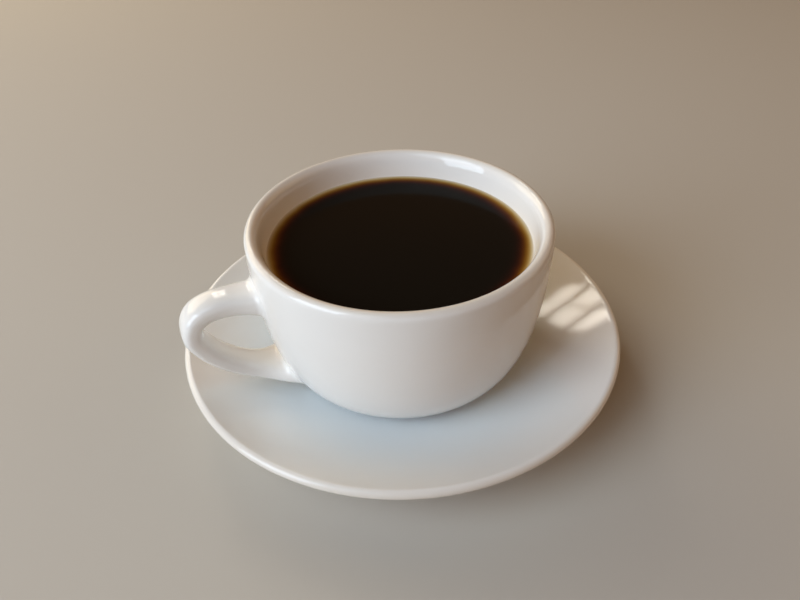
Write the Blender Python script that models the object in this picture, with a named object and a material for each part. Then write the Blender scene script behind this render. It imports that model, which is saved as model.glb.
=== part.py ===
"""A porcelain cup of black coffee standing on its saucer, at real size.

Three solids: the saucer, the cup with its handle, and the coffee in it.
Metres, +Z up. The origin is the middle of the saucer's foot, on the table,
and the handle points along -X.
"""

from math import copysign, cos, exp, hypot, pi, sin, sqrt

import bmesh
import bpy
from mathutils import Vector

# ---------------------------------------------------------------- dimensions
SEGMENTS = 72            # facets round every turned piece
GAP = 0.0003             # clearance between pieces that touch

SAUCER_RADIUS = 0.0750
SAUCER_HEIGHT = 0.0207
SAUCER_THICKNESS = 0.0030
SAUCER_WELL_RADIUS = 0.0300
SAUCER_WELL_Z = 0.0063
SAUCER_FLOOR_Z = 0.0017  # underside, inside the foot ring
SAUCER_SWEEP = 1.7       # power of the dish curve: 1 is a cone, 2 a parabola
SAUCER_FOOT_OUTER = 0.0415
SAUCER_FOOT_INNER = 0.0365
SAUCER_FOOT_CHAMFER = 0.0005
SAUCER_RINGS = 11
SAUCER_EDGE_STEPS = 8

CUP_BASE_Z = SAUCER_WELL_Z + GAP
CUP_HEIGHT = 0.0550
CUP_RADIUS = 0.0490
CUP_FOOT_RADIUS = 0.0290
CUP_FOOT_WIDTH = 0.0045
CUP_FOOT_HEIGHT = 0.0014
CUP_BELLY = 2.11         # upper power of the bowl's curve: how soon it is upright
CUP_HEEL = 2.98          # lower power of the bowl's curve: how square its heel is
LIP_ROUND = 0.0020       # radius of the lip's outer edge
LIP_INSET = 0.0020       # how far in the lip's inner side curves
LIP_DROP = 0.0036        # and how far down
CUP_WALL = 0.0064        # thickness of the wall from WALL_BLEND below the lip
WALL_BLEND = 0.0110
CUP_RINGS = 14
RING_SPREAD = 2.4        # above 1, the rings crowd towards the heel
LIP_STEPS = 3            # on each side of the lip's top

COFFEE_BELOW_LIP = 0.0092

# the handle's middle line, as distance out from the cup's axis and height
HANDLE_TOP = (0.0455, 0.0448)
HANDLE_SHOULDER = ((0.0630, 0.0493), (0.0706, 0.0462))
HANDLE_TIP = (0.0699, 0.0374)
HANDLE_ELBOW = ((0.0696, 0.0349), (0.0608, 0.0172))
HANDLE_BOTTOM = (0.0398, 0.0152)
# pairs are at the top root and at the bottom one
HANDLE_WIDTHS = (0.0110, 0.0109)
HANDLE_THICKNESSES = (0.0072, 0.0057)
HANDLE_FLARES = (0.35, 0.90)     # how much wider the strap grows where it joins the bowl
HANDLE_THICKENING = 0.12         # how much thicker it grows there
HANDLE_FLARE_LENGTH = 0.0080
HANDLE_PLUG = 0.0030             # how far the bottom end runs on inside the wall
HANDLE_PLUG_SHARE = 0.45         # its size there
HANDLE_SQUARENESS = 2.8          # power of the strap's section: 2 is an ellipse
HANDLE_FACETS = 20
HANDLE_RINGS = 16                # rings in each half of the loop

LIP_Z = CUP_BASE_Z + CUP_HEIGHT
COFFEE_Z = LIP_Z - COFFEE_BELOW_LIP


# ------------------------------------------------------------------- helpers
def clear_scene():
    for item in list(bpy.data.objects):
        bpy.data.objects.remove(item, do_unlink=True)


def make_material(name, colour, roughness):
    material = bpy.data.materials.new(name)
    material.use_nodes = True
    shader = material.node_tree.nodes["Principled BSDF"]
    shader.inputs["Base Color"].default_value = (*colour, 1.0)
    shader.inputs["Roughness"].default_value = roughness
    shader.inputs["Metallic"].default_value = 0.0
    return material


def add_object(name, mesh_edit, material):
    """Turn finished mesh data into a smooth-shaded object in the scene."""
    bmesh.ops.recalc_face_normals(mesh_edit, faces=mesh_edit.faces)
    mesh = bpy.data.meshes.new(name)
    mesh_edit.to_mesh(mesh)
    mesh_edit.free()
    mesh.shade_smooth()
    mesh.set_sharp_from_angle(angle=pi / 5)
    mesh.materials.append(material)
    item = bpy.data.objects.new(name, mesh)
    bpy.context.collection.objects.link(item)
    return item


def turn(profile):
    """Turn a closed (radius, height) outline, from axis to axis, about Z."""
    edit = bmesh.new()
    rings = []
    for radius, height in profile:
        if radius < GAP:
            rings.append([edit.verts.new((0, 0, height))] * SEGMENTS)
            continue
        angles = [2 * pi * step / SEGMENTS for step in range(SEGMENTS)]
        rings.append([edit.verts.new((radius * cos(a), radius * sin(a), height)) for a in angles])
    for lower, upper in zip(rings, rings[1:]):
        for step in range(SEGMENTS):
            after = (step + 1) % SEGMENTS
            corners = [lower[step], lower[after], upper[after], upper[step]]
            edit.faces.new(list(dict.fromkeys(corners)))
    return edit


def arc(centre, radius, start, sweep, steps):
    """Points along an arc that starts at one angle and turns through another."""
    angles = [start + sweep * step / steps for step in range(steps + 1)]
    return [(centre[0] + radius * cos(a), centre[1] + radius * sin(a)) for a in angles]


# -------------------------------------------------------------------- saucer
def saucer_slope(radius):
    """Height of the dish above its well, and its slope, at a radius."""
    half = SAUCER_THICKNESS / 2
    reach = SAUCER_RADIUS - half - SAUCER_WELL_RADIUS
    rise = SAUCER_HEIGHT - SAUCER_WELL_Z
    share = max(radius - SAUCER_WELL_RADIUS, 0.0) / reach
    height = rise * share ** SAUCER_SWEEP
    slope = rise / reach * SAUCER_SWEEP * share ** (SAUCER_SWEEP - 1)
    return height, slope


def saucer_profile():
    half = SAUCER_THICKNESS / 2
    edge_radius = SAUCER_RADIUS - half
    dish = []
    for step in range(SAUCER_RINGS):
        radius = SAUCER_WELL_RADIUS + (edge_radius - SAUCER_WELL_RADIUS) * step / SAUCER_RINGS
        height, slope = saucer_slope(radius)
        run = hypot(1, slope)
        middle = (radius, SAUCER_WELL_Z - half + height)
        shift = (-slope / run * half, half / run)
        dish.append((middle, shift))
    upper = [(m[0] + s[0], m[1] + s[1]) for m, s in dish]
    lower = [(m[0] - s[0], m[1] - s[1]) for m, s in dish if m[0] > SAUCER_FOOT_OUTER + half]

    height, slope = saucer_slope(edge_radius)
    tilt = Vector((1, slope)).angle_signed(Vector((1, 0)))
    edge_centre = (edge_radius, SAUCER_WELL_Z - half + height)
    edge = arc(edge_centre, half, pi / 2 + tilt, -pi, SAUCER_EDGE_STEPS)

    inner_end = lower[0]
    foot_slope = saucer_slope(SAUCER_FOOT_OUTER)[1]
    foot_top = inner_end[1] - (inner_end[0] - SAUCER_FOOT_OUTER) * foot_slope
    foot = [
        (SAUCER_FOOT_OUTER, foot_top),
        (SAUCER_FOOT_OUTER, SAUCER_FOOT_CHAMFER),
        (SAUCER_FOOT_OUTER - SAUCER_FOOT_CHAMFER, 0),
        (SAUCER_FOOT_INNER + SAUCER_FOOT_CHAMFER, 0),
        (SAUCER_FOOT_INNER, SAUCER_FOOT_CHAMFER),
        (SAUCER_FOOT_INNER - SAUCER_FOOT_CHAMFER, SAUCER_FLOOR_Z),
        (0, SAUCER_FLOOR_Z),
    ]
    return [(0, SAUCER_WELL_Z)] + upper + edge + lower[::-1] + foot


def build_saucer(porcelain):
    return add_object("saucer", turn(saucer_profile()), porcelain)


# ----------------------------------------------------------------------- cup
def bowl_outside(share):
    """Outer radius and height of the bowl; share runs from 0, the heel, to 1, the lip."""
    heel_z = CUP_BASE_Z + CUP_FOOT_HEIGHT
    top_z = LIP_Z - LIP_ROUND
    swell = (1 - (1 - share) ** CUP_BELLY) ** (1 / CUP_HEEL)
    radius = CUP_FOOT_RADIUS + (CUP_RADIUS - CUP_FOOT_RADIUS) * swell
    return radius, heel_z + share * (top_z - heel_z)


def wall_at(depth):
    """Thickness of the wall at a depth below the top of the lip."""
    curve = sqrt(1 - (1 - min(depth / LIP_DROP, 1)) ** 2)
    lean = min(depth / WALL_BLEND, 1)
    return LIP_ROUND + LIP_INSET * curve + (CUP_WALL - LIP_ROUND - LIP_INSET) * lean


def bowl_inside(share, extra=0.0):
    """The wall's inner face, set in from the outer one by the wall and an extra gap."""
    nearby = 0.001
    low, high = bowl_outside(max(share - nearby, 0)), bowl_outside(min(share + nearby, 1))
    along = Vector((high[0] - low[0], high[1] - low[1])).normalized()
    radius, height = bowl_outside(share)
    wall = wall_at(LIP_Z - height) + extra
    return radius - along.y * wall, height + along.x * wall


def wall_shares():
    """Steps up the wall, closer together at the heel, where it curves most."""
    return [(step / CUP_RINGS) ** RING_SPREAD for step in range(CUP_RINGS + 1)]


def cup_profile():
    shares = wall_shares()
    outside = [bowl_outside(share) for share in shares]
    lip = arc((CUP_RADIUS - LIP_ROUND, LIP_Z - LIP_ROUND), LIP_ROUND, 0, pi / 2, LIP_STEPS)[1:]
    for step in range(1, LIP_STEPS):
        depth = LIP_ROUND * (step / LIP_STEPS) ** 2
        lip.append((CUP_RADIUS - wall_at(depth), LIP_Z - depth))
    inside = [bowl_inside(share) for share in reversed(shares)]
    foot_inner = CUP_FOOT_RADIUS - CUP_FOOT_WIDTH
    recess_z = CUP_BASE_Z + CUP_FOOT_HEIGHT
    chamfer = CUP_FOOT_HEIGHT / 2
    foot = [
        (0, recess_z),
        (foot_inner - chamfer, recess_z),
        (foot_inner, CUP_BASE_Z),
        (CUP_FOOT_RADIUS - 2 * chamfer, CUP_BASE_Z),
        (CUP_FOOT_RADIUS - chamfer, CUP_BASE_Z + chamfer),
    ]
    return foot + outside + lip + inside + [(0, inside[-1][1])]


def bezier(start, first, second, end, share):
    rest = 1 - share
    weights = (rest ** 3, 3 * rest ** 2 * share, 3 * rest * share ** 2, share ** 3)
    points = (start, first, second, end)
    return Vector([sum(w * p[axis] for w, p in zip(weights, points)) for axis in (0, 1)])


def handle_line():
    """The loop's middle line: out from the bowl, round the tip and back in below."""
    steps = [step / HANDLE_RINGS for step in range(HANDLE_RINGS + 1)]
    upper = [bezier(HANDLE_TOP, *HANDLE_SHOULDER, HANDLE_TIP, share) for share in steps]
    lower = [bezier(HANDLE_TIP, *HANDLE_ELBOW, HANDLE_BOTTOM, share) for share in steps]
    return upper + lower[1:]


def mix(pair, share):
    return pair[0] + (pair[1] - pair[0]) * share


def handle_sections():
    """Middle point, direction, half width and half thickness of every ring."""
    line = handle_line()
    travelled = [0.0]
    for before, after in zip(line, line[1:]):
        travelled.append(travelled[-1] + (after - before).length)
    sections = []
    for index, point in enumerate(line):
        before, after = line[max(index - 1, 0)], line[min(index + 1, len(line) - 1)]
        along = (after - before).normalized()
        near_top = exp(-(travelled[index] / HANDLE_FLARE_LENGTH) ** 2)
        near_bottom = exp(-((travelled[-1] - travelled[index]) / HANDLE_FLARE_LENGTH) ** 2)
        share = travelled[index] / travelled[-1]
        wider = 1 + HANDLE_FLARES[0] * near_top + HANDLE_FLARES[1] * near_bottom
        thicker = 1 + HANDLE_THICKENING * (near_top + near_bottom)
        width = wider * mix(HANDLE_WIDTHS, share)
        thickness = thicker * mix(HANDLE_THICKNESSES, share)
        sections.append((point, along, width / 2, thickness / 2))
    point, along, width, thickness = sections[-1]
    plug = point + along * HANDLE_PLUG
    sections.append((plug, along, width * HANDLE_PLUG_SHARE, thickness * HANDLE_PLUG_SHARE))
    return sections


def squared(value):
    """A sine or cosine pushed outwards, which squares a circle's corners a little."""
    return copysign(abs(value) ** (2 / HANDLE_SQUARENESS), value)


def build_handle(porcelain):
    """A rounded strap swept along the loop, flaring where it grows out of the bowl."""
    edit = bmesh.new()
    rings = []
    for point, along, half_width, half_thickness in handle_sections():
        ring = []
        for step in range(HANDLE_FACETS):
            angle = 2 * pi * step / HANDLE_FACETS
            across = half_width * squared(sin(angle))
            out = half_thickness * squared(cos(angle))
            radius, height = point.x - along.y * out, point.y + along.x * out
            ring.append(edit.verts.new((-radius, across, height)))
        rings.append(ring)
    for near, far in zip(rings, rings[1:]):
        for step in range(HANDLE_FACETS):
            after = (step + 1) % HANDLE_FACETS
            edit.faces.new((near[step], near[after], far[after], far[step]))
    edit.faces.new(rings[0])
    edit.faces.new(rings[-1])
    handle = add_object("handle_form", edit, porcelain)
    handle.hide_render = True
    handle.display_type = "WIRE"
    return handle


def build_cup(porcelain):
    """The turned bowl with the handle fused to it: one piece of porcelain."""
    cup = add_object("cup", turn(cup_profile()), porcelain)
    fuse = cup.modifiers.new("fuse_handle", "BOOLEAN")
    fuse.operation = "UNION"
    fuse.object = build_handle(porcelain)
    return cup


# -------------------------------------------------------------------- coffee
def coffee_profile():
    """The drink fills the bowl up to its level, clear of the wall by the gap."""
    wall = [bowl_inside(share, GAP) for share in wall_shares()]
    below = [point for point in wall if point[1] < COFFEE_Z]
    above = wall[len(below)]
    last = below[-1]
    share = (COFFEE_Z - last[1]) / (above[1] - last[1])
    edge = (last[0] + share * (above[0] - last[0]), COFFEE_Z)
    return [(0, below[0][1])] + below + [edge, (0, COFFEE_Z)]


def build_coffee(drink):
    return add_object("coffee", turn(coffee_profile()), drink)


def main():
    clear_scene()
    porcelain = make_material("white_porcelain", (0.78, 0.76, 0.72), 0.12)
    drink = make_material("black_coffee", (0.014, 0.007, 0.004), 0.06)
    build_saucer(porcelain)
    build_cup(porcelain)
    build_coffee(drink)


main()
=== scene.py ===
# %% [markdown]
# # A cup of black coffee on its saucer
# A white cafe cup, its saucer and the drink in it. On the real thing the bowl and the saucer are
# pressed between a spinning mould and a shaped blade, so both are turned forms: here too each
# one starts as an outline that is spun about the Z axis. Only the handle isn't round. It is cast
# on its own, stuck on with wet clay and wiped smooth, and it gets steps of its own.
#
# The measured model is loaded first. It gives the places and the sizes, and everything below
# keeps to them. Lengths are in metres throughout.

from math import copysign, cos, exp, hypot, pi, radians, sin, sqrt

import bpy
import numpy as np
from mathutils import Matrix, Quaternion, Vector


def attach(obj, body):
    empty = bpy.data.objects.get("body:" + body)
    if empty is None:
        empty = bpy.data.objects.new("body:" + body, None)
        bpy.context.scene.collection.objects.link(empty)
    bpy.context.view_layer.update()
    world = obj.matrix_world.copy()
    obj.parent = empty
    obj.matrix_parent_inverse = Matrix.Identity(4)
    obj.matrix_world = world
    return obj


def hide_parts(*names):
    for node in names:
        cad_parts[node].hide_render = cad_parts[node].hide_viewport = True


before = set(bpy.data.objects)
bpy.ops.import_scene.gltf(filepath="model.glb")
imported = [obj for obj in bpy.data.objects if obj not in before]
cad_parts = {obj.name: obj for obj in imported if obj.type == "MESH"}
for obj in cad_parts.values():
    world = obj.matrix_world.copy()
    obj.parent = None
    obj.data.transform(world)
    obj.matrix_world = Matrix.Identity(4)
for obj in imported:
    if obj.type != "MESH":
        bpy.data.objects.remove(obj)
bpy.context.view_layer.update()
print("nodes:", sorted(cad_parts))

MM = 0.001

# %% [markdown]
# ## The camera
# The cup is seen as somebody sitting at the table sees it: from in front, about 40 degrees above
# the table, with the handle on the left. A camera could be aimed with a Track To constraint,
# but a plain position and three angles are easier to read and can't drift. The lens is a mild
# wide angle, close to the cup, which is what makes the near side of the saucer swell.

# %% Place the camera
CAMERA_PLACE = (-0.07088, -0.17543, 0.17998)
CAMERA_HEADING = -21.875  # degrees round Z from looking along +Y
CAMERA_DOWN = 38.74       # degrees below the horizon
CAMERA_ROLL = -1.54
CAMERA_LENS = 31.5        # mm, on a sensor 36 mm wide

eye = bpy.data.cameras.new("camera")
eye.lens = CAMERA_LENS
eye.sensor_width = 36
eye.clip_start = 0.01
camera = bpy.data.objects.new("camera", eye)
camera.location = CAMERA_PLACE
camera.rotation_mode = "QUATERNION"
heading = Quaternion((0, 0, 1), radians(CAMERA_HEADING))
nod = Quaternion((1, 0, 0), radians(90 - CAMERA_DOWN))
roll = Quaternion((0, 0, 1), radians(CAMERA_ROLL))
camera.rotation_quaternion = heading @ nod @ roll
bpy.context.collection.objects.link(camera)
bpy.context.scene.camera = camera
print("camera", [round(value, 3) for value in camera.location])

# %% [markdown]
# ## Turning an outline
# A lathe needs only half a cross-section: a row of (radius, height) points that starts and ends
# on the axis. Blender's Screw modifier does the same job, but building the rings directly gives
# one welded point at each end of the axis and a closed skin, with no doubled seam to merge.

# %% Helpers for turned forms
TURNS = 256   # flats round every turned piece, about 1.8 mm wide at the saucer's edge


def finished(name, points, faces):
    """A smooth-shaded object made of the given points and faces."""
    mesh = bpy.data.meshes.new(name)
    mesh.from_pydata(points, [], faces)
    mesh.shade_smooth()
    piece = bpy.data.objects.new(name, mesh)
    bpy.context.collection.objects.link(piece)
    print(name, len(mesh.vertices), "points,", len(mesh.polygons), "faces")
    return piece


def turned(name, outline, turns=TURNS):
    """Spin an outline of (radius, height) points, from axis to axis, about Z."""
    angles = [2 * pi * step / turns for step in range(turns)]
    points = [(0, 0, outline[0][1])]
    for radius, height in outline[1:-1]:
        points += [(radius * cos(a), radius * sin(a), height) for a in angles]
    points.append((0, 0, outline[-1][1]))
    after = [(step + 1) % turns for step in range(turns)]
    faces = [(0, 1 + after[step], 1 + step) for step in range(turns)]
    for ring in range(len(outline) - 3):
        low = 1 + ring * turns
        high = low + turns
        faces += [(low + s, low + after[s], high + after[s], high + s) for s in range(turns)]
    last = 1 + (len(outline) - 3) * turns
    faces += [(last + step, last + after[step], len(points) - 1) for step in range(turns)]
    return finished(name, points, faces)


def arc(centre, radius, start, sweep, steps):
    """Points along an arc that starts at one angle and turns through another."""
    angles = [start + sweep * step / steps for step in range(steps + 1)]
    return [(centre[0] + radius * cos(a), centre[1] + radius * sin(a)) for a in angles]


def ease(value):
    """0 below 0, 1 above 1 and a soft S between."""
    value = np.clip(value, 0, 1)
    return value * value * (3 - 2 * value)


# %% [markdown]
# ## The saucer
# A shallow dish of even thickness: a flat well that the cup stands in, a wall that rises slowly
# and then faster, a full round edge and a foot ring below. It could be a sheet with a Solidify
# modifier, but that gives a square edge and no foot. Here a middle line is drawn, and both
# faces are set off from it by half the thickness, which is how an even wall is drafted.

# %% Turn the saucer
SAUCER_RADIUS = 75.0 * MM
SAUCER_HEIGHT = 20.7 * MM
SAUCER_THICKNESS = 3.0 * MM
WELL_RADIUS = 30.0 * MM
WELL_Z = 6.3 * MM
FLOOR_Z = 1.7 * MM          # underside, inside the foot ring
SAUCER_SWEEP = 1.7          # 1 would be a cone, 2 a parabola
FOOT_OUTER = 41.5 * MM
FOOT_INNER = 36.5 * MM
FOOT_ROUND = 0.6 * MM
HOLLOW_DROP = 0.2 * MM      # the round between the dish and the foot starts this far down
SAUCER_RINGS = 60
WELL_RINGS = 8
EDGE_STEPS = 24
ROUND_STEPS = 6             # in each small round of the foot


def dish(radius):
    """Height of the saucer's wall above the well, and its slope."""
    reach = SAUCER_RADIUS - SAUCER_THICKNESS / 2 - WELL_RADIUS
    rise = SAUCER_HEIGHT - WELL_Z
    share = max(radius - WELL_RADIUS, 0.0) / reach
    return rise * share ** SAUCER_SWEEP, rise / reach * SAUCER_SWEEP * share ** (SAUCER_SWEEP - 1)


def saucer_outline():
    half = SAUCER_THICKNESS / 2
    edge_radius = SAUCER_RADIUS - half
    upper, lower = [], []
    for step in range(SAUCER_RINGS):
        radius = WELL_RADIUS + (edge_radius - WELL_RADIUS) * step / SAUCER_RINGS
        height, slope = dish(radius)
        run = hypot(1, slope)
        upper.append((radius - slope / run * half, WELL_Z - half + height + half / run))
        lower.append((radius + slope / run * half, WELL_Z - half + height - half / run))
    height, slope = dish(edge_radius)
    tilt = np.arctan(slope)
    edge = arc((edge_radius, WELL_Z - half + height), half, pi / 2 + tilt, -pi, EDGE_STEPS)
    lower = [point for point in lower if point[0] > FOOT_OUTER + half]
    meets = lower[0][1] - (lower[0][0] - FOOT_OUTER) * dish(FOOT_OUTER)[1]
    hollow = arc((FOOT_OUTER + half, meets - HOLLOW_DROP), half, pi, -pi / 3, ROUND_STEPS)
    outer_middle = (FOOT_OUTER - FOOT_ROUND, FOOT_ROUND)
    outer_round = arc(outer_middle, FOOT_ROUND, 0, -pi / 2, ROUND_STEPS)
    inner_middle = (FOOT_INNER + FOOT_ROUND, FOOT_ROUND)
    inner_round = arc(inner_middle, FOOT_ROUND, -pi / 2, -pi / 2, ROUND_STEPS)
    under = [(FOOT_INNER - FOOT_ROUND, FLOOR_Z), (FOOT_INNER / 2, FLOOR_Z), (0, FLOOR_Z)]
    well = [(WELL_RADIUS * step / WELL_RINGS, WELL_Z) for step in range(WELL_RINGS)]
    foot = hollow[1:4][::-1] + outer_round + inner_round
    return well + upper + edge + lower[::-1] + foot + under


saucer = turned("saucer_turned", saucer_outline()[::-1])
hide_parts("saucer")
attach(saucer, "root")

# %% [markdown]
# ## The bowl's outline
# The bowl stands up almost straight at the lip and turns under in one round belly, with a thick
# hotel-ware wall and a full round lip. The outer curve is a superellipse, two powers that say
# how soon it is upright and how square its heel is. The inner face is set in from it by the
# wall's thickness.

# %% Draw the bowl
CUP_BASE_Z = WELL_Z         # it stands in the saucer's well
LIP_Z = 61.6 * MM
CUP_HEEL_Z = 8.0 * MM
CUP_RADIUS = 49.0 * MM
CUP_FOOT = 29.0 * MM
CUP_FOOT_WIDTH = 4.5 * MM
FOOT_CORNER = 0.7 * MM
CUP_BELLY = 2.11            # how soon the bowl is upright
CUP_HEEL = 2.98             # how square its heel is
LIP_ROUND = 2.0 * MM        # radius of the lip's outer edge
LIP_INSET = 2.0 * MM        # how far in the lip's inner side curves
LIP_DROP = 3.6 * MM         # and how far down
WALL = 6.4 * MM             # the wall's thickness from WALL_BLEND below the lip
WALL_BLEND = 11.0 * MM
CUP_RINGS = 90
RING_SPREAD = 2.4           # above 1, the rings crowd towards the heel
LIP_STEPS = 16              # on each side of the lip's top
RECESS_RINGS = 12           # across the base, inside the foot ring


def bowl_outside(share):
    """Outer radius and height; share runs from 0, the heel, to 1, the lip."""
    swell = (1 - (1 - share) ** CUP_BELLY) ** (1 / CUP_HEEL)
    top = LIP_Z - LIP_ROUND
    return CUP_FOOT + (CUP_RADIUS - CUP_FOOT) * swell, CUP_HEEL_Z + share * (top - CUP_HEEL_Z)


def wall_at(depth):
    """Thickness of the wall at a depth below the top of the lip."""
    curve = sqrt(1 - (1 - min(depth / LIP_DROP, 1)) ** 2)
    lean = min(depth / WALL_BLEND, 1)
    return LIP_ROUND + LIP_INSET * curve + (WALL - LIP_ROUND - LIP_INSET) * lean


def bowl_inside(share, extra=0.0):
    """The inner face, set in from the outer one by the wall and an extra gap."""
    nearby = 0.001
    low = bowl_outside(max(share - nearby, 0))
    high = bowl_outside(min(share + nearby, 1))
    along = Vector((high[0] - low[0], high[1] - low[1])).normalized()
    radius, height = bowl_outside(share)
    wall = wall_at(LIP_Z - height) + extra
    return radius - along.y * wall, height + along.x * wall


def wall_shares():
    """Steps up the wall, closer together at the heel, where it curves most."""
    return [(step / CUP_RINGS) ** RING_SPREAD for step in range(CUP_RINGS + 1)]


def lip_outline():
    """Over the lip: a quarter circle up the outer side, then a gentler curve inwards."""
    lip = arc((CUP_RADIUS - LIP_ROUND, LIP_Z - LIP_ROUND), LIP_ROUND, 0, pi / 2, LIP_STEPS)[1:]
    depths = [LIP_ROUND * (step / LIP_STEPS) ** 2 for step in range(1, LIP_STEPS)]
    return lip + [(CUP_RADIUS - wall_at(depth), LIP_Z - depth) for depth in depths]


def foot_outline():
    """Across the hollow base and round the foot ring, from the axis out to the heel."""
    corner = FOOT_CORNER
    ring_in = CUP_FOOT - CUP_FOOT_WIDTH
    foot = [(radius, CUP_HEEL_Z) for radius in np.linspace(0, ring_in - corner, RECESS_RINGS)]
    foot += arc((ring_in - corner, CUP_HEEL_Z - corner), corner, pi / 2, -pi / 4, 4)[1:]
    foot += arc((ring_in + corner, CUP_BASE_Z + corner), corner, pi * 5 / 4, pi / 4, 4)
    outer = CUP_FOOT - 2 * corner
    return foot + arc((outer, CUP_BASE_Z + corner), corner, -pi / 2, pi / 2, ROUND_STEPS)


def bowl_outline():
    outside = [bowl_outside(share) for share in wall_shares()]
    inside = [bowl_inside(share) for share in reversed(wall_shares())]
    return foot_outline() + outside + lip_outline() + inside + [(0, inside[-1][1])]


outline = bowl_outline()
print("bowl outline:", len(outline), "points, mouth", round(CUP_RADIUS * 2000), "mm")

# %% [markdown]
# ## The handle's line
# The handle is a strap with a rounded section that leaves the bowl just under the lip, goes round
# a finger and comes back low on the belly. Two Bezier curves make its middle line, so a few
# pairs of numbers hold the whole loop, as they would in a curve object.

# %% Draw the handle
HANDLE_TOP = (45.5 * MM, 44.8 * MM)      # distance out from the cup's axis, height
HANDLE_SHOULDER = ((63.0 * MM, 49.3 * MM), (70.6 * MM, 46.2 * MM))
HANDLE_TIP = (69.9 * MM, 37.4 * MM)
HANDLE_ELBOW = ((69.6 * MM, 34.9 * MM), (60.8 * MM, 17.2 * MM))
HANDLE_BOTTOM = (39.8 * MM, 15.2 * MM)
HANDLE_WIDTHS = (11.0 * MM, 10.9 * MM)       # at the top root and at the bottom one
HANDLE_THICKNESSES = (7.2 * MM, 5.7 * MM)
HANDLE_FLARES = (0.35, 0.90)                 # how much wider the strap grows at the two roots
HANDLE_THICKENING = 0.12                     # how much thicker it grows there
HANDLE_FLARE_LENGTH = 8.0 * MM
HANDLE_SQUARENESS = 2.8                      # power of the strap's section: 2 is an ellipse
HANDLE_STEPS = 60                            # in each half of the loop
STRAP_FACETS = 24


def bezier(start, first, second, end, share):
    rest = 1 - share
    weights = (rest ** 3, 3 * rest ** 2 * share, 3 * rest * share ** 2, share ** 3)
    pulls = (start, first, second, end)
    return [sum(w * p[axis] for w, p in zip(weights, pulls)) for axis in (0, 1)]


shares = np.linspace(0, 1, HANDLE_STEPS + 1)
upper_half = [bezier(HANDLE_TOP, *HANDLE_SHOULDER, HANDLE_TIP, share) for share in shares]
lower_half = [bezier(HANDLE_TIP, *HANDLE_ELBOW, HANDLE_BOTTOM, share) for share in shares]
handle_line = np.array(upper_half + lower_half[1:])
steps = np.linalg.norm(np.diff(handle_line, axis=0), axis=1)
from_top = np.concatenate([[0], np.cumsum(steps)])
from_bottom = from_top[-1] - from_top
near_top = np.exp(-(from_top / HANDLE_FLARE_LENGTH) ** 2)
near_bottom = np.exp(-(from_bottom / HANDLE_FLARE_LENGTH) ** 2)
share = from_top / from_top[-1]
half_width = np.interp(share, (0, 1), HANDLE_WIDTHS) / 2
half_width *= 1 + HANDLE_FLARES[0] * near_top + HANDLE_FLARES[1] * near_bottom
half_thickness = np.interp(share, (0, 1), HANDLE_THICKNESSES) / 2
half_thickness *= 1 + HANDLE_THICKENING * (near_top + near_bottom)
print("handle:", round(from_top[-1] * 1000, 1), "mm of strap")


def squared(value):
    """A sine or cosine pushed outwards, which squares a circle's corners a little."""
    return copysign(abs(value) ** (2 / HANDLE_SQUARENESS), value)


def swept_strap(line, widths, thicknesses, facets=STRAP_FACETS):
    """A rough tube along the handle's line, as clay for the next step."""
    along = np.gradient(line, axis=0)
    along /= np.linalg.norm(along, axis=1)[:, None]
    points, faces = [], []
    for place, way, width, thick in zip(line, along, widths, thicknesses):
        for step in range(facets):
            angle = 2 * pi * step / facets
            out = thick * squared(cos(angle))
            across = width * squared(sin(angle))
            points.append((way[1] * out - place[0], across, place[1] + way[0] * out))
    for ring in range(len(line) - 1):
        low = ring * facets
        for step in range(facets):
            after = (step + 1) % facets
            faces.append((low + step, low + after, low + facets + after, low + facets + step))
    faces.append(tuple(range(facets))[::-1])
    faces.append(tuple(range(len(points) - facets, len(points))))
    return points, faces


# %% [markdown]
# ## One piece of clay
# Bowl and handle have to become one skin, with the soft fillet that a wet sponge leaves where
# they meet. A Boolean union would join them with a hard crease, and a bevel on such a crease
# tears. Instead the two are merged by a Voxel Remesh, which gives even little quads but a
# slightly bumpy skin, and then every point is pulled onto the true surface. That surface is
# known exactly: it is where the distance to the bowl's outline or to the strap is zero, and a
# smooth minimum of the two distances makes the fillet.

# %% Distances to the bowl and to the strap
FILLET = 2.4 * MM
SMALLEST_FILLET = 0.001 * MM
CHUNK = 6000    # points measured at a time, to keep the tables small
TINY = 1e-9     # keeps a division safe


def distance_to_outline(points, line):
    """Signed distance of (radius, height) points to an outline, and the way out of it."""
    starts, along = line[:-1], np.diff(line, axis=0)
    length = np.linalg.norm(along, axis=1)
    flat = np.stack([along[:, 1], -along[:, 0]], axis=1) / length[:, None]
    corner = np.vstack([flat[:1], flat[:-1] + flat[1:], flat[-1:]])
    corner /= np.linalg.norm(corner, axis=1)[:, None]
    found, ways = [], []
    for first in range(0, len(points), CHUNK):
        some = points[first:first + CHUNK]
        offset = some[:, None] - starts
        share = np.clip((offset * along).sum(axis=2) / length ** 2, 0, 1)
        gap = offset - share[:, :, None] * along
        best = (gap ** 2).sum(axis=2).argmin(axis=1)
        rows = np.arange(len(some))
        mix = share[rows, best][:, None]
        way = corner[best] * (1 - mix) + corner[best + 1] * mix
        away = gap[rows, best]
        found.append(np.sign((away * way).sum(axis=1)) * np.linalg.norm(away, axis=1))
        ways.append(way / np.linalg.norm(way, axis=1)[:, None])
    return np.concatenate(found), np.vstack(ways)


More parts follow.
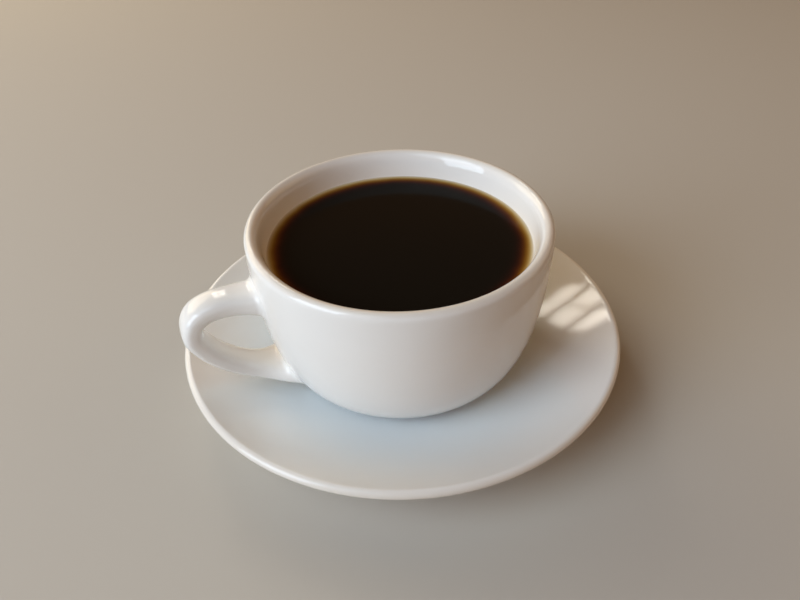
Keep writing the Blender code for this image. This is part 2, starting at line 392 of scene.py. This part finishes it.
def distance_to_strap(points):
    """Distance of points to the handle's rounded surface, and the way out of it."""
    n = HANDLE_SQUARENESS
    flat = np.stack([-points[:, 0], points[:, 2]], axis=1)
    found, ways = [], []
    starts, along = handle_line[:-1], np.diff(handle_line, axis=0)
    for first in range(0, len(points), CHUNK):
        some = flat[first:first + CHUNK]
        offset = some[:, None] - starts
        share = np.clip((offset * along).sum(axis=2) / steps ** 2, 0, 1)
        gap = offset - share[:, :, None] * along
        best = (gap ** 2).sum(axis=2).argmin(axis=1)
        rows = np.arange(len(some))
        mix = share[rows, best]
        thick = half_thickness[best] * (1 - mix) + half_thickness[best + 1] * mix
        wide = half_width[best] * (1 - mix) + half_width[best + 1] * mix
        away = gap[rows, best]
        across = points[first:first + CHUNK, 1]
        aside = np.linalg.norm(away, axis=1) + TINY
        out, side = aside / thick, abs(across) / wide
        size = (out ** n + side ** n) ** (1 / n) + TINY
        outwards = (out / size) ** (n - 1) / thick / aside
        sideways = (side / size) ** (n - 1) / wide * np.sign(across)
        slope = np.stack([-away[:, 0] * outwards, sideways, away[:, 1] * outwards], axis=1)
        steep = np.linalg.norm(slope, axis=1) + TINY
        found.append((size - 1) / steep)
        ways.append(slope / steep[:, None])
    return np.concatenate(found), np.vstack(ways)


# %% The cup's true surface
HANDLE_SIDE = -25 * MM      # the handle lies wholly to this side of the axis
STRAP_ENDS = 0.6 * WALL     # how far into the wall the strap counts
FILLET_ENDS = 0.5 * WALL    # and the fillet, so that none forms on the inner face
FAR_AWAY = 1.0
outline_points = np.array(outline)
outside_curve = np.array([bowl_outside(share) for share in np.linspace(0, 1, 400)])


def distance_to_clay(points):
    """Distance to bowl and handle as one body, with a fillet outside the wall only."""
    radius = np.hypot(points[:, 0], points[:, 1])
    bowl, way = distance_to_outline(np.stack([radius, points[:, 2]], axis=1), outline_points)
    spin = points[:, :2] / np.maximum(radius, TINY)[:, None]
    bowl_way = np.column_stack([way[:, :1] * spin, way[:, 1]])
    near = points[:, 0] < HANDLE_SIDE
    strap = np.full(len(points), FAR_AWAY)
    strap_way = np.zeros((len(points), 3))
    strap[near], strap_way[near] = distance_to_strap(points[near])
    depth = np.interp(points[:, 2], outside_curve[:, 1], outside_curve[:, 0]) - radius
    strap[depth > STRAP_ENDS] = FAR_AWAY
    fillet = FILLET * (1 - ease(depth / FILLET_ENDS)) + SMALLEST_FILLET
    blend = np.clip(0.5 + 0.5 * (strap - bowl) / fillet, 0, 1)
    distance = strap * (1 - blend) + bowl * blend - fillet * blend * (1 - blend)
    way = strap_way * (1 - blend[:, None]) + bowl_way * blend[:, None]
    return distance, way


# %% Merge bowl and strap
VOXEL = 0.76 * MM
clay = turned("clay", outline[::-1])
strap_points, strap_faces = swept_strap(handle_line, half_width, half_thickness)
strap_piece = finished("strap", strap_points, strap_faces)
bpy.ops.object.select_all(action="DESELECT")
strap_piece.select_set(True)
clay.select_set(True)
bpy.context.view_layer.objects.active = clay
bpy.ops.object.join()
remesh = clay.modifiers.new("merge", "REMESH")
remesh.mode = "VOXEL"
remesh.voxel_size = VOXEL
remeshed = clay.evaluated_get(bpy.context.evaluated_depsgraph_get())
merged = bpy.data.meshes.new_from_object(remeshed)
bpy.data.objects.remove(clay, do_unlink=True)
print("merged:", len(merged.vertices), "points")

# %% Pull every point onto the surface
ROUNDS = 4
SMOOTHING = 0.6     # how far a point slides towards the middle of its neighbours
PULLS = 2           # steps towards the surface in each round

place = np.empty(len(merged.vertices) * 3)
merged.vertices.foreach_get("co", place)
place = place.reshape(-1, 3)
edges = np.empty(len(merged.edges) * 2, dtype=int)
merged.edges.foreach_get("vertices", edges)
edges = edges.reshape(-1, 2)
ends = np.concatenate([edges[:, 0], edges[:, 1]])
others = np.concatenate([edges[:, 1], edges[:, 0]])
count = np.bincount(ends, minlength=len(place))

for turn in range(ROUNDS):
    if turn:
        middle = [np.bincount(ends, place[others, axis], len(place)) / count for axis in range(3)]
        drift = np.stack(middle, axis=1) - place
        drift -= (drift * way).sum(axis=1)[:, None] * way
        place += SMOOTHING * drift
    for _ in range(PULLS):
        distance, way = distance_to_clay(place)
        place -= (distance / (way ** 2).sum(axis=1))[:, None] * way
    way /= np.linalg.norm(way, axis=1)[:, None]
    print("round", turn, "farthest off:", round(abs(distance).max() * 1e6, 1), "micrometres")

merged.vertices.foreach_set("co", place.ravel())
merged.shade_smooth()
merged.update()
cup = bpy.data.objects.new("cup_with_handle", merged)
bpy.context.collection.objects.link(cup)
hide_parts("cup")
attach(cup, "root")
print("cup:", len(merged.vertices), "points,", len(merged.polygons), "faces")

# %% [markdown]
# ## The coffee
# The drink is a solid too: it fills the bowl to its level and ends in a surface that is flat
# except at the wall, where it climbs a little. That curl is the meniscus, about as high as
# water climbs on clean glaze, and it catches a thin line of light. A flat disc would do from
# afar, but a disc meets the wall in a dead straight line that reads as plastic.

# %% Pour the coffee
COFFEE_Z = 52.4 * MM
MENISCUS_HEIGHT = 0.5 * MM
MENISCUS_REACH = 1.0 * MM      # how quickly the curl dies away from the wall
TOUCH = -0.1 * MM              # the drink wets the wall, so the two just overlap
EDGE_CLEARANCE = 0.2 * MM      # no ring of the wall lies closer below the curl's top
CURL_WIDTH = 12 * MM           # the ring of the surface with fine steps
CURL_STEPS = 40
MIDDLE_RINGS = 12


def coffee_outline():
    wall = [bowl_inside(share, TOUCH) for share in wall_shares()]
    top = COFFEE_Z + MENISCUS_HEIGHT
    below = [point for point in wall if point[1] < top - EDGE_CLEARANCE]
    edge = float(np.interp(top, [z for _, z in wall], [r for r, _ in wall]))
    inward = [edge - CURL_WIDTH * (step / CURL_STEPS) ** 2 for step in range(CURL_STEPS + 1)]
    surface = [(r, COFFEE_Z + MENISCUS_HEIGHT * exp((r - edge) / MENISCUS_REACH)) for r in inward]
    rings = range(1, MIDDLE_RINGS + 1)
    middle = [(inward[-1] * (1 - ring / MIDDLE_RINGS), COFFEE_Z) for ring in rings]
    return [(0, below[0][1])] + below + surface + middle


coffee = turned("coffee_poured", coffee_outline())
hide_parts("coffee")
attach(coffee, "root")

# %% [markdown]
# ## Colours and nodes
# Colours are written as the hex codes that a colour picker shows. Those are display values, so
# one function turns them into the linear ones that a shader adds up. A second one adds a node,
# sets it, wires it and gives back one of its outputs, so that each finish below reads as a list
# of what it is made of. Patterns are placed by object coordinates, which are metres here, so a
# noise that repeats every 15 mm has a scale of 1000 / 15.

# %% Helpers for finishes
def linear(code):
    """An sRGB hex code as linear red, green, blue and alpha."""
    parts = [int(code[place:place + 2], 16) / 255 for place in (1, 3, 5)]
    return (*[p / 12.92 if p <= 0.04045 else ((p + 0.055) / 1.055) ** 2.4 for p in parts], 1.0)


def feed(tree, node, sockets):
    """Set a node's input sockets to values, or wire them to other nodes' outputs."""
    for place, value in sockets.items():
        if isinstance(value, bpy.types.NodeSocket):
            tree.links.new(value, node.inputs[place])
        else:
            node.inputs[place].default_value = value


def add(tree, kind, sockets, out=0, **settings):
    """Add one node with its settings, feed its sockets and give back one of its outputs."""
    node = tree.nodes.new("ShaderNode" + kind)
    for name, value in settings.items():
        setattr(node, name, value)
    feed(tree, node, sockets)
    return node.outputs[out]


def blend(tree, share, first, second, kind="MIX"):
    """Mix two colours, which sit on sockets 6 and 7 of a Mix node, and come out of 2."""
    return add(tree, "Mix", {0: share, 6: first, 7: second}, 2, data_type="RGBA", blend_type=kind)


def new_finish(name):
    finish = bpy.data.materials.new(name)
    finish.use_nodes = True
    return finish, finish.node_tree, finish.node_tree.nodes["Principled BSDF"]


def dress(piece, finish):
    piece.data.materials.clear()
    piece.data.materials.append(finish)


# %% [markdown]
# ## Glazed porcelain
# Hard white clay fired under a clear glass. The eye sees two things at once: a soft, faintly
# warm white from the clay, and sharp reflections from the glaze on top of it. The glaze is melted
# glass, IOR 1.5, so it is very smooth but never quite flat. It lies in slow waves some 15 mm
# long with a finer orange peel, and those bend the edges of every reflection a little. It runs
# thin over the lip and the saucer's edge, where the warmer clay shows through. In the dish the
# faces that look up turn faintly blue. Part of that is the glaze gathering thick there, as thick
# glass is blue. Part is painted cool light, as if from a blue sky overhead. Here and there an
# iron speck has burnt in. The foot rings are wiped bare so that they don't stick to the kiln
# shelf, and stay dull.
#
# A Noise texture does for the waves, as they have no direction. The specks are the centres of
# Voronoi cells: a noise with a threshold would give blotches of all sizes instead.

# %% Glazed porcelain
PORCELAIN_WHITE = "#F2F1EE"
PORCELAIN_SHADE = "#ECEBE7"     # where the glaze pools a little thicker
PORCELAIN_THIN = "#E6E1D8"      # over an edge
PORCELAIN_POOL_AND_SKY = "#E2ECF2"      # painted cool sky light on upward faces, partly thick glaze in the dish, faintly blue as thick glass is
BISQUE = "#D9D2C4"
BLUE_TINT_EDGE = 76.0 * MM           # radius at which the blue tint starts, painted sky light with gathering glaze
BLUE_TINT_MIDDLE = 44.0 * MM         # and inside which the tint is at its strongest
IRON = "#9A8A74"
IRON_STRENGTH = 0.7
CLOUD_MM = 38.0
WAVE_MM = 15.0
PEEL_MM = 1.6
SPECK_MM = 0.35
SPECK_CELL_MM = 11.0            # about one speck to each 20 square centimetres
WAVE_DEPTH = 0.10 * MM
PEEL_DEPTH = 0.004 * MM
GLAZE_IOR = 1.5
GLAZE_ROUGHNESS = (0.05, 0.09)  # it wears a little duller in patches
BISQUE_ROUGHNESS = 0.8
LINE_WANDER = 0.3 * MM          # how far the glaze line on the foot wanders


def glazed_porcelain(name, foot_top, edge, thin_from, thin_to, pool_and_sky=0.0):
    """Bare clay below foot_top, thin glaze where edge passes thin_from, and a faint blue in the
    dish: thicker glaze, and painted cool light on its upward faces.
    """
    finish, tree, shader = new_finish(name)
    spot = add(tree, "TexCoord", {}, "Object")
    height = add(tree, "SeparateXYZ", {0: spot}, "Z")
    flat = add(tree, "VectorMath", {0: spot, 1: (1, 1, 0)}, operation="MULTIPLY")
    radius = add(tree, "VectorMath", {0: flat}, "Value", operation="LENGTH")
    cloud = add(tree, "TexNoise", {"Vector": spot, "Scale": 1000 / CLOUD_MM, "Detail": 3.0})
    white = blend(tree, cloud, linear(PORCELAIN_WHITE), linear(PORCELAIN_SHADE))

    # Painted cool light: in the dish, the faces that look up are tinted blue as if lit by a blue
    # sky above. Part of the tint is the thicker glaze there.
    blue_tint = add(tree, "MapRange", {0: radius, 1: BLUE_TINT_EDGE, 2: BLUE_TINT_MIDDLE, 3: 0.0, 4: pool_and_sky},
                 interpolation_type="SMOOTHSTEP")
    upwards = add(tree, "SeparateXYZ", {0: add(tree, "TexCoord", {}, "Normal")}, "Z")
    blue_tint = add(tree, "Math", {0: blue_tint, 1: upwards}, operation="MULTIPLY", use_clamp=True)
    white = blend(tree, blue_tint, white, linear(PORCELAIN_POOL_AND_SKY))

    along = {"height": height, "radius": radius}[edge]
    thin = add(tree, "MapRange", {0: along, 1: thin_from, 2: thin_to})
    white = blend(tree, thin, white, linear(PORCELAIN_THIN))

    cells = {"Vector": spot, "Scale": 1000 / SPECK_CELL_MM}
    middle = add(tree, "TexVoronoi", cells, "Distance")
    size = SPECK_MM / 2 / SPECK_CELL_MM
    speck = add(tree, "MapRange", {0: middle, 1: size, 2: size / 2, 3: 0.0, 4: IRON_STRENGTH})
    white = blend(tree, speck, white, linear(IRON))

    wander = add(tree, "TexNoise", {"Vector": spot, "Scale": 1000 / WAVE_MM})
    wander = add(tree, "Math", {0: wander, 1: LINE_WANDER, 2: foot_top},
                 operation="MULTIPLY_ADD")
    bare = add(tree, "Math", {0: height, 1: wander}, operation="LESS_THAN")
    colour = blend(tree, bare, white, linear(BISQUE))

    low, high = GLAZE_ROUGHNESS
    wear = add(tree, "MapRange", {0: cloud, 1: 0.35, 2: 0.65, 3: low, 4: high})
    dull = add(tree, "Mix", {0: bare, 2: wear, 3: BISQUE_ROUGHNESS})
    waves = add(tree, "TexNoise", {"Vector": spot, "Scale": 1000 / WAVE_MM, "Detail": 1.0})
    peel = add(tree, "TexNoise", {"Vector": spot, "Scale": 1000 / PEEL_MM, "Detail": 1.0})
    bent = add(tree, "Bump", {"Height": waves, "Distance": WAVE_DEPTH})
    bent = add(tree, "Bump", {"Height": peel, "Distance": PEEL_DEPTH, "Normal": bent})
    feed(tree, shader, {"Base Color": colour, "Roughness": dull, "Normal": bent, "IOR": GLAZE_IOR})
    return finish


# %% Glaze the saucer and the cup
SAUCER_THIN = SAUCER_RADIUS - 1.4 * MM      # outside this radius the glaze is thin
SAUCER_BARE = 0.5 * MM                      # below this height the clay is bare
# how strong the saucer's blue is: painted cool light from above on its upward faces, with some
# thick glaze
SAUCER_POOL_AND_SKY = 0.9
CUP_THIN = LIP_Z - 1.0 * MM
CUP_BARE = CUP_BASE_Z + 0.6 * MM

finish = glazed_porcelain("glazed_porcelain_saucer", SAUCER_BARE, "radius", SAUCER_THIN,
                          SAUCER_RADIUS, SAUCER_POOL_AND_SKY)
dress(saucer, finish)
dress(cup, glazed_porcelain("glazed_porcelain_cup", CUP_BARE, "height", CUP_THIN, LIP_Z))
print("porcelain on:", saucer.name, cup.name)

# %% [markdown]
# ## Black coffee
# Water stained by what the beans gave up. It takes blue light away first, then green, and red
# last, so a thin layer looks amber, a thicker one red-brown, and a cup of it black. That is the
# Beer-Lambert law: each colour fades by its own power of the depth. Deep coffee shows almost
# nothing of its own, only what its surface mirrors, at the IOR of water, 1.333.
#
# Real absorption could be had from a glass shader with a volume inside. It would need the wall
# under the drink to be lit through it, which is slow and noisy, so the law is worked out on the
# surface instead. The depth to the wall grows with the distance from the rim, by the same rule
# all round the cup. A drinker sees the amber wider on the far side, where the eye looks straight
# at the wall. A finish that holds from every side can't say that, so it keeps to the middle way.

# %% Brewed coffee
BREW = "#181511"
AMBER_EDGE = "#CFC8BB"              # the shaded wall seen through almost no coffee
ABSORPTION = (1.0, 1.62, 3.3)       # red, green, blue, each against red
DEPTH_POWER = 1.4                   # the wall is steep at the rim and falls away below it
AMBER_REACH = 1.8 * MM              # how far in from the rim red lasts
SWIRL_MM = 9.0
SWIRL = (0.92, 1.08)                # the reach is a little uneven round the cup
COFFEE_IOR = 1.333
COFFEE_ROUGHNESS = 0.12             # oils and a faint tremble blur what it mirrors
COFFEE_SPECULAR = 0.06              # far below water's 0.5, for a room darker than this one
coffee_rim = max(hypot(point.co.x, point.co.y) for point in coffee.data.vertices)

finish, tree, shader = new_finish("brewed_coffee")
spot = add(tree, "TexCoord", {}, "Object")
flat = add(tree, "VectorMath", {0: spot, 1: (1, 1, 0)}, operation="MULTIPLY")
radius = add(tree, "VectorMath", {0: flat}, "Value", operation="LENGTH")
swirl = add(tree, "TexNoise", {"Vector": spot, "Scale": 1000 / SWIRL_MM, "Detail": 2.0})
swirl = add(tree, "MapRange", {0: swirl, 1: 0.3, 2: 0.7, 3: SWIRL[0], 4: SWIRL[1]})
reach = add(tree, "Math", {0: swirl, 1: AMBER_REACH}, operation="MULTIPLY")

# %% How deep the wall lies, and what is left of each colour
inward = add(tree, "Math", {0: coffee_rim, 1: radius}, operation="SUBTRACT")
inward = add(tree, "Math", {0: inward, 1: 0.0}, operation="MAXIMUM")
depth = add(tree, "Math", {0: inward, 1: reach}, operation="DIVIDE")
depth = add(tree, "Math", {0: depth, 1: DEPTH_POWER}, operation="POWER")
left = []
for strength in ABSORPTION:
    power = add(tree, "Math", {0: depth, 1: -strength}, operation="MULTIPLY")
    left.append(add(tree, "Math", {0: power}, operation="EXPONENT"))
amber = add(tree, "CombineColor", {0: left[0], 1: left[1], 2: left[2]})
amber = blend(tree, 1.0, amber, linear(AMBER_EDGE), "MULTIPLY")
colour = blend(tree, 1.0, amber, linear(BREW), "ADD")
feed(tree, shader, {"Base Color": colour, "Roughness": COFFEE_ROUGHNESS, "IOR": COFFEE_IOR})
feed(tree, shader, {"Specular IOR Level": COFFEE_SPECULAR})
dress(coffee, finish)
print("coffee's rim at", round(coffee_rim * 1000, 2), "mm")

# %% [markdown]
# ## Floor
# A sheet of pale warm card, much wider than the view. It throws a little light back up under the
# bowl and the saucer's edge.

# %% Lay the floor
PALE_CARD = "#C4C0B8"
CARD_ROUGHNESS = 0.9    # uncoated card: an even tone with no sheen
FLOOR_HALF = 3.0
floor_corners = [(-FLOOR_HALF, -FLOOR_HALF, 0), (FLOOR_HALF, -FLOOR_HALF, 0),
                 (FLOOR_HALF, FLOOR_HALF, 0), (-FLOOR_HALF, FLOOR_HALF, 0)]
floor = finished("floor", floor_corners, [(0, 1, 2, 3)])
finish, tree, shader = new_finish("pale_card")
feed(tree, shader, {"Base Color": linear(PALE_CARD), "Roughness": CARD_ROUGHNESS})
feed(tree, shader, {"Specular IOR Level": 0.2})
dress(floor, finish)

# %% [markdown]
# ## Light
# One large soft light on the left does most of the work, as a window would by daylight, and a
# weaker one above it carries on the same window higher up. They are a little blue and everything
# else is warm: a faint lamp on the right keeps the far side from going black, a broad one behind
# on the left lights the back of the saucer, and a dim one overhead browns the shadows. Six small
# ones behind are the panes of a second window, which the glaze on the saucer shows as a bright
# patch with bars across it.

# %% One soft light
bpy.context.scene.view_settings.view_transform = "Standard"
AIM_HEIGHT = 30 * MM      # the lamps aim at the middle of the cup


def lamp(name, around, up, far, size, power, colour):
    """A soft light: degrees left of the camera's line, degrees up, metres from the cup."""
    turn = radians(90 + around + CAMERA_HEADING)
    level = cos(radians(up))
    place = Vector((cos(turn) * level, sin(turn) * level, sin(radians(up)))) * far
    data = bpy.data.lights.new(name, "AREA")
    data.shape = "RECTANGLE"
    data.size, data.size_y = size
    data.energy = power
    data.color = colour
    item = bpy.data.objects.new(name, data)
    item.location = place + Vector((0, 0, AIM_HEIGHT))
    item.rotation_mode = "QUATERNION"
    item.rotation_quaternion = (-place).to_track_quat("-Z", "Y")
    bpy.context.collection.objects.link(item)
    return item


# %% Set the lights
FAR = 1.2                       # metres from the cup
BIG = (0.8, 0.8)                # metres wide and high
PANE = (0.085, 0.075)

lamp("key", 122, 24, FAR, (0.75, 0.9), 12.0, (0.71, 0.84, 0.97))
lamp("fill", 134, 48, FAR, BIG, 3.4, (0.84, 0.95, 1.0))
lamp("side", 290, 28, FAR, BIG, 1.2, (1.0, 0.86, 0.55))
lamp("glow", 48, 24, FAR, (0.9, 0.6), 4.4, (1.0, 0.86, 0.60))
lamp("ceiling", 20, 65, FAR, BIG, 0.5, (1.0, 0.5, 0.1))
for around in (22, 28):
    for up in (35, 40, 45):
        lamp("pane", around, up, FAR, PANE, 0.19, (1.0, 0.93, 0.82))

# %% [markdown]
# ## The room
# The room is dark low down and overhead, with a brown band between, from about 10 to 40 degrees
# up. That band colours the bowl's dark side. The part of the room that the coffee mirrors stays
# empty, so the drink stays black.

# %% Colour the room
DARK_ROOM = (0.02, 0.02, 0.02, 1)
BROWN_BAND = (0.42, 0.16, 0.03, 1)
BAND_LOW = (0.12, 0.28)         # where it fades in and out, as the sine of the height angle
BAND_HIGH = (0.50, 0.70)

world = bpy.data.worlds.new("room")
bpy.context.scene.world = world
world.use_nodes = True
tree = world.node_tree
up = add(tree, "SeparateXYZ", {0: add(tree, "TexCoord", {}, "Generated")}, "Z")
low = add(tree, "MapRange", {0: up, 1: BAND_LOW[0], 2: BAND_LOW[1]})
high = add(tree, "MapRange", {0: up, 1: BAND_HIGH[0], 2: BAND_HIGH[1]})
sky = blend(tree, low, DARK_ROOM, BROWN_BAND)
sky = blend(tree, high, sky, DARK_ROOM)
feed(tree, tree.nodes["Background"], {"Color": sky, "Strength": 1.0})
